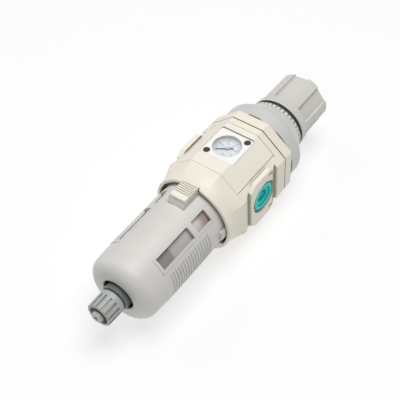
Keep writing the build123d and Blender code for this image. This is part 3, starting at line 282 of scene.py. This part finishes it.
def clear_plastic(name, colour, alpha, roughness=0.12, bands=None):
    """See-through plastic with faint clouding and hairline scratches; bands tint it by height, in metres."""
    shader = Shader(name)
    surface = shader.surface
    cloud = shader.spread(shader.noise(35, 4), 0.3, 0.7)
    scratches = shader.spread(shader.noise(240, 6, 0.75, stretch=(1, 1, 0.05)), 0.60, 0.68)
    base = shader.blend(cloud, rgba(colour, 0.85), rgba(colour, 1.12))
    for low, high, tint in bands or ():
        base = shader.blend(shader.spread(shader.height(), low, high), base, tint, "MULTIPLY")
    shader.feed(surface.inputs["Base Color"], base)
    shader.feed(surface.inputs["Roughness"], shader.spread(scratches, 0, 1, roughness, roughness + 0.25))
    shader.feed(surface.inputs["Alpha"], shader.spread(cloud, 0, 1, alpha - 0.05, alpha + 0.05))
    shader.feed(surface.inputs["Normal"], shader.bump(scratches, 0.00001, 0.3))
    return shader.material


def sintered(name, colour):
    """Porous filter material: fused beads, with painted shade in the pores between them."""
    shader = Shader(name)
    cells = shader.node("ShaderNodeTexVoronoi")
    cells.inputs["Scale"].default_value = 1100
    shader.feed(cells.inputs["Vector"], shader.coordinates)
    pores = shader.spread(cells.outputs["Distance"], 0.25, 0.75)
    stain = shader.spread(shader.noise(45, 5), 0.4, 0.75)
    # Painted shade: darker towards the edges of each bead, where the pores lie.
    base = shader.blend(pores, rgba(colour), rgba(colour, 0.55))
    base = shader.blend(shader.math("MULTIPLY", stain, 0.35), base, (0.55, 0.46, 0.34, 1))
    shader.feed(shader.surface.inputs["Base Color"], base)
    shader.surface.inputs["Roughness"].default_value = 0.85
    shader.feed(shader.surface.inputs["Normal"], shader.bump(cells.outputs["Distance"], 0.0001, 0.6))
    return shader.material


# ------------------------------------------------------------------ finishes of the CAD pieces

PAINT = (0.81, 0.765, 0.655)
COVER = (0.815, 0.775, 0.68)
BUTTON = (0.84, 0.80, 0.69)
PLATE = (0.87, 0.86, 0.835)
RING = (0.58, 0.58, 0.575)
COLLAR = (0.64, 0.64, 0.615)
KNOB = (0.61, 0.60, 0.555)
GUARD = (0.635, 0.62, 0.585)
TEAL = (0.002, 0.62, 0.565)
DRAIN = (0.39, 0.41, 0.40)
SLATE = (0.15, 0.17, 0.18)
NIPPLE = (0.50, 0.49, 0.44)
DARK_RING = (0.048, 0.05, 0.043)
SMOKE = (0.92, 0.875, 0.87)
# Tints on the bowl's wall by height for what shows behind it: the element, painted shade for the empty sump
# under it, and the dark louver over it.
BOWL_BANDS = (
    (-0.060, -0.066, (0.77, 0.76, 0.775, 1)),
    (-0.0835, -0.0845, (0.60, 0.60, 0.60, 1)),
    (-0.0555, -0.0505, (0.62, 0.52, 0.46, 1)),
)
INNER = (0.20, 0.15, 0.125)
DARK_SCREW = (0.19, 0.165, 0.14)
STEEL = (0.52, 0.52, 0.53)
WIRE = (0.42, 0.43, 0.45)
BRASS = (0.72, 0.53, 0.23)
DIAL = (0.84, 0.875, 0.92)
LENS_TINT = (0.9, 0.94, 0.97)
FILTER = (0.82, 0.79, 0.75)
PRINT = (0.07, 0.085, 0.14)
POINTER = (0.08, 0.09, 0.13)
HUB = (0.80, 0.82, 0.85)

SPRING_WIRE = metal("spring_wire", WIRE, 0.3)
DIAL_PRINT = moulded("dial_print", PRINT, 0.5, variation=0.1, wear_and_highlight=0.0, gap_shade=0.0, edge_radius=0.00002)

FINISHES = {
    ("body", "bonnet"): moulded("ivory_paint", PAINT, 0.42, grain=1900, grain_height=0.00003, variation=0.02,
                                gap_shade=0.85),
    ("front_cover", "rear_cover"): moulded("ivory_plastic", COVER, 0.46, variation=0.02, gap_shade=0.85),
    ("lock_button",): moulded("cream_plastic", BUTTON, 0.46, variation=0.03),
    ("gauge_case",): moulded("gauge_white", PLATE, 0.40, variation=0.015, wear_and_highlight=0.2),
    ("gauge_dial",): moulded("dial_face", DIAL, 0.5, variation=0.02, grain=1200, wear_and_highlight=0.0, gap_shade=0.15),
    ("gauge_needle",): pointer("needle_paint", POINTER, HUB),
    ("bonnet_ring",): moulded("ring_grey", RING, 0.40, variation=0.02),
    ("bonnet_collar",): moulded("collar_white", COLLAR, 0.45, variation=0.03, wear_and_highlight=0.15, gap_shade=0.22),
    ("lock_ring",): moulded("dark_ring", DARK_RING, 0.55, variation=0.15, wear_and_highlight=0.12),
    ("knob",): moulded("knob_grey", KNOB, 0.48, grain=1700, grain_height=0.00004, variation=0.03, gap_shade=0.3),
    ("bowl_guard",): moulded("guard_grey", GUARD, 0.44, variation=0.02, gap_shade=0.18, wear_and_highlight=0.15),
    ("inlet_plug", "outlet_plug"): moulded("plug_teal", TEAL, 0.50, variation=0.06, wear_and_highlight=0.08, gap_shade=0.75),
    ("drain_knob",): moulded("drain_grey", DRAIN, 0.42, variation=0.05, wear_and_highlight=0.3, gap_shade=0.8),
    ("drain_collar", "drain_body"): moulded("drain_slate", SLATE, 0.40, variation=0.08, wear_and_highlight=0.5, gap_shade=0.8),
    ("drain_stem",): moulded("nipple_pale", NIPPLE, 0.45, variation=0.04),
    ("louver", "baffle", "valve_guide", "valve_seat", "element_bolt"):
        moulded("inner_plastic", INNER, 0.5, variation=0.08),
    ("valve_stem", "gauge_movement", "stem_nut", "rear_gauge_plug"):
        metal("brass", BRASS, 0.28, lines=(1, 1, 14)),
    ("gauge_screws",): metal("dark_screws", DARK_SCREW, 0.4),
    ("bonnet_screws", "adjusting_screw", "spring_nut", "upper_diaphragm_plate", "lower_diaphragm_plate"):
        metal("plated_steel", STEEL, 0.32, lines=(1, 1, 10)),
    ("adjusting_spring", "valve_spring", "lock_spring"): SPRING_WIRE,
    ("diaphragm", "valve_disc", "guide_o_ring", "bowl_o_ring", "gauge_seal", "drain_seal"):
        rubber("seal_rubber"),
    ("gauge_lens",): clear_plastic("clear_lens", LENS_TINT, 0.12, 0.05),
    ("bowl",): clear_plastic("smoked_bowl", SMOKE, 0.60, 0.16, bands=BOWL_BANDS),
    ("filter_element",): sintered("filter_white", FILTER),
}


def dress_frame():
    for names, material in FINISHES.items():
        for name in names:
            for slot in NODES[name].material_slots:
                slot.material = material


dress_frame()

# ------------------------------------------------------------------ own pieces

MM = 0.001


def add_piece(name, mesh, material, body):
    """Links a mesh in the row frame as a piece that rides on a body."""
    mesh.materials.clear()
    mesh.materials.append(material)
    piece = bpy.data.objects.new(name, mesh)
    bpy.context.scene.collection.objects.link(piece)
    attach(piece, body)
    return piece


def coil_mesh(name, mean_radius, wire_radius, bottom, top, turns, centre_y=0.0):
    """A compression spring of round wire between two levels, in millimetres."""
    made = bmesh.new()
    around = 12
    steps_per_turn = 48
    steps = int(turns * steps_per_turn)
    rise = top - bottom - 2 * wire_radius
    slope = math.atan2(rise / turns, 2 * math.pi * mean_radius)
    rings = []
    for step in range(steps + 1):
        angle = 2 * math.pi * turns * step / steps
        outward = Vector((math.cos(angle), math.sin(angle), 0))
        forward = Vector((-math.sin(angle), math.cos(angle), 0))
        along = forward * math.cos(slope) + Vector((0, 0, math.sin(slope)))
        across = along.cross(outward)
        middle = outward * mean_radius + Vector((0, centre_y, bottom + wire_radius + rise * step / steps))
        ring = []
        for corner in range(around):
            turn = 2 * math.pi * corner / around
            spot = middle + (outward * math.cos(turn) + across * math.sin(turn)) * wire_radius
            ring.append(made.verts.new(spot * MM))
        rings.append(ring)
    for first, second in zip(rings, rings[1:]):
        for corner in range(around):
            after = (corner + 1) % around
            made.faces.new((first[corner], first[after], second[after], second[corner]))
    made.faces.new(reversed(rings[0]))
    made.faces.new(rings[-1])
    bmesh.ops.recalc_face_normals(made, faces=made.faces)
    for face in made.faces:
        face.smooth = len(face.verts) == 4
    mesh = bpy.data.meshes.new(name)
    made.to_mesh(mesh)
    made.free()
    return mesh


def add_springs():
    """Coil springs of round wire that take the place of the CAD springs, which are hidden."""
    # node, (mean radius, wire radius, bottom, top, turns), centre y, body, joint, travel, all in millimetres
    springs = (
        ("adjusting_spring", (9.6, 1.3, 27.4, 52.0, 5), 0.0, "root", "spring_nut_travel", 6.3),
        ("valve_spring", (4.6, 0.45, -16.0, -11.0, 3), 0.0, "root", "valve_stroke", 1.5),
        ("lock_spring", (0.75, 0.18, -54.0, -46.0, 9), -28.0, "bowl", "lock_button_press", 3.0),
    )
    for node, sizes, centre_y, body, joint, travel in springs:
        spring = add_piece(node + "_wire", coil_mesh(node + "_wire", *sizes, centre_y), SPRING_WIRE, body)
        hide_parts(node)
        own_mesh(spring)


# The dial reads clockwise from low on the left to low on the right.
DIAL_FRONT = -28.0
DIAL_MIDDLE = 1.25
ZERO_ANGLE = 214.0
SCALE_SWEEP = 248.0
PRINT_HEIGHT = 0.03
TICKS = 25
TICKS_PER_NUMBER = 5
TICK_RADIUS = 9.3
SCALE_LINE = (9.38, 9.55)
SCALE_STEPS = 62
NUMBER_RADIUS = 5.1
NUMBER_HEIGHT = 1.75
UNIT_HEIGHT = 1.9
UNIT_DROP = 5.3


def dial_spot(radius, angle, depth=0.0):
    """A point on the dial's front, in metres, from a radius in millimetres and an angle in degrees."""
    turn = math.radians(angle)
    return Vector((radius * math.cos(turn), DIAL_FRONT - depth, DIAL_MIDDLE + radius * math.sin(turn))) * MM


def print_prism(made, outline):
    """A thin raised print over a closed outline of (radius, angle) points."""
    lower = [made.verts.new(dial_spot(radius, angle, -PRINT_HEIGHT)) for radius, angle in outline]
    upper = [made.verts.new(dial_spot(radius, angle, PRINT_HEIGHT)) for radius, angle in outline]
    made.faces.new(lower)
    made.faces.new(upper[::-1])
    count = len(outline)
    for corner in range(count):
        after = (corner + 1) % count
        made.faces.new((lower[after], lower[corner], upper[corner], upper[after]))


def print_tick(made, angle, inner, outer, width):
    half_inner = math.degrees(width / 2 / inner)
    half_outer = math.degrees(width / 2 / outer)
    print_prism(made, [(inner, angle - half_inner), (outer, angle - half_outer), (outer, angle + half_outer),
                       (inner, angle + half_inner)])


def print_text(made, text, height, x, z):
    """Generic scale lettering, centred on a point of the dial in millimetres."""
    curve = bpy.data.curves.new("lettering", "FONT")
    curve.body = text
    curve.size = height * MM
    curve.align_x = "CENTER"
    curve.align_y = "CENTER"
    curve.extrude = PRINT_HEIGHT * MM
    writing = bpy.data.objects.new("lettering", curve)
    bpy.context.scene.collection.objects.link(writing)
    bpy.context.view_layer.update()
    flat = bpy.data.meshes.new_from_object(writing.evaluated_get(bpy.context.evaluated_depsgraph_get()))
    facing = Matrix(((1, 0, 0, x * MM), (0, 0, -1, DIAL_FRONT * MM), (0, 1, 0, z * MM), (0, 0, 0, 1)))
    flat.transform(facing)
    made.from_mesh(flat)
    bpy.data.objects.remove(writing)
    bpy.data.curves.remove(curve)
    bpy.data.meshes.remove(flat)


def add_dial_print():
    """Scale line, ticks and generic numbers in megapascals."""
    made = bmesh.new()
    for tick in range(TICKS + 1):
        angle = ZERO_ANGLE - SCALE_SWEEP * tick / TICKS
        if tick % TICKS_PER_NUMBER == 0:
            print_tick(made, angle, 6.5, TICK_RADIUS, 0.55)
        else:
            print_tick(made, angle, 7.2, TICK_RADIUS, 0.34)
    for step in range(SCALE_STEPS):
        first = ZERO_ANGLE - SCALE_SWEEP * step / SCALE_STEPS
        second = ZERO_ANGLE - SCALE_SWEEP * (step + 1) / SCALE_STEPS
        inner, outer = SCALE_LINE
        print_prism(made, [(inner, second), (outer, second), (outer, first), (inner, first)])
    numbers = ("0", "0.2", "0.4", "0.6", "0.8", "1.0")
    for index, text in enumerate(numbers):
        turn = math.radians(ZERO_ANGLE - SCALE_SWEEP * index / (len(numbers) - 1))
        across = NUMBER_RADIUS * math.cos(turn)
        up = NUMBER_RADIUS * math.sin(turn)
        print_text(made, text, NUMBER_HEIGHT, across, DIAL_MIDDLE + up)
    print_text(made, "MPa", UNIT_HEIGHT, 0.0, DIAL_MIDDLE - UNIT_DROP)
    mesh = bpy.data.meshes.new("dial_print")
    made.to_mesh(mesh)
    made.free()
    add_piece("dial_print", mesh, DIAL_PRINT, "root")


add_springs()
add_dial_print()

# ------------------------------------------------------------------ stage and light

FLOOR_GAP = 0.0015
FLOOR_HALF = 4.0
FLOOR_GREY = 0.30
FLOOR_GLOW = 0.66
WORLD_STRENGTH = 0.14
# name, direction from the object, distance and size in metres, power in watts
LIGHTS = (
    ("key", (0.14, -0.97, 0.10), 1.2, 0.8, 13.4),
    ("left", (-0.80, -0.55, -0.10), 1.2, 0.9, 3.2),
    ("fill", (0.1, -0.5, -0.95), 1.3, 0.9, 1.9),
    ("back_left", (-0.6, 0.9, 0.4), 1.3, 0.9, 6.0),
    ("back_right", (0.8, 0.7, -0.2), 1.3, 0.9, 1.5),
)


def add_floor():
    """A pale table behind the object, which lies on its back; it is clear when seen from behind."""
    mesh = bpy.data.meshes.new("floor")
    y = HIGH.y + FLOOR_GAP
    corners = [(x, y, z) for x, z in ((-FLOOR_HALF, -FLOOR_HALF), (FLOOR_HALF, -FLOOR_HALF),
                                      (FLOOR_HALF, FLOOR_HALF), (-FLOOR_HALF, FLOOR_HALF))]
    mesh.from_pydata(corners, [], [(0, 1, 2, 3)])
    floor = bpy.data.objects.new("floor", mesh)
    bpy.context.scene.collection.objects.link(floor)
    material = bpy.data.materials.new("floor")
    material.use_nodes = True
    tree = material.node_tree
    surface = tree.nodes["Principled BSDF"]
    surface.inputs["Base Color"].default_value = (FLOOR_GREY, FLOOR_GREY, FLOOR_GREY, 1)
    surface.inputs["Roughness"].default_value = 0.9
    surface.inputs["Emission Color"].default_value = (1, 1, 1, 1)
    surface.inputs["Emission Strength"].default_value = FLOOR_GLOW
    clear = tree.nodes.new("ShaderNodeBsdfTransparent")
    side = tree.nodes.new("ShaderNodeNewGeometry")
    mix = tree.nodes.new("ShaderNodeMixShader")
    tree.links.new(side.outputs["Backfacing"], mix.inputs["Fac"])
    tree.links.new(surface.outputs["BSDF"], mix.inputs[1])
    tree.links.new(clear.outputs["BSDF"], mix.inputs[2])
    tree.links.new(mix.outputs["Shader"], tree.nodes["Material Output"].inputs["Surface"])
    mesh.materials.append(material)


def add_light(name, direction, distance, size, power):
    """A square soft light that faces the object's middle."""
    data = bpy.data.lights.new(name, "AREA")
    data.shape = "SQUARE"
    data.size = size
    data.energy = power
    lamp = bpy.data.objects.new(name, data)
    bpy.context.scene.collection.objects.link(lamp)
    middle = (LOW + HIGH) / 2
    lamp.location = middle + Vector(direction).normalized() * distance
    lamp.rotation_euler = (lamp.location - middle).to_track_quat("Z", "Y").to_euler()


def add_world():
    world = bpy.data.worlds.new("studio")
    world.use_nodes = True
    world.node_tree.nodes["Background"].inputs["Color"].default_value = (1, 1, 1, 1)
    world.node_tree.nodes["Background"].inputs["Strength"].default_value = WORLD_STRENGTH
    bpy.context.scene.world = world


add_floor()
add_world()
for light in LIGHTS:
    add_light(*light)
bpy.context.scene.view_settings.view_transform = "Standard"
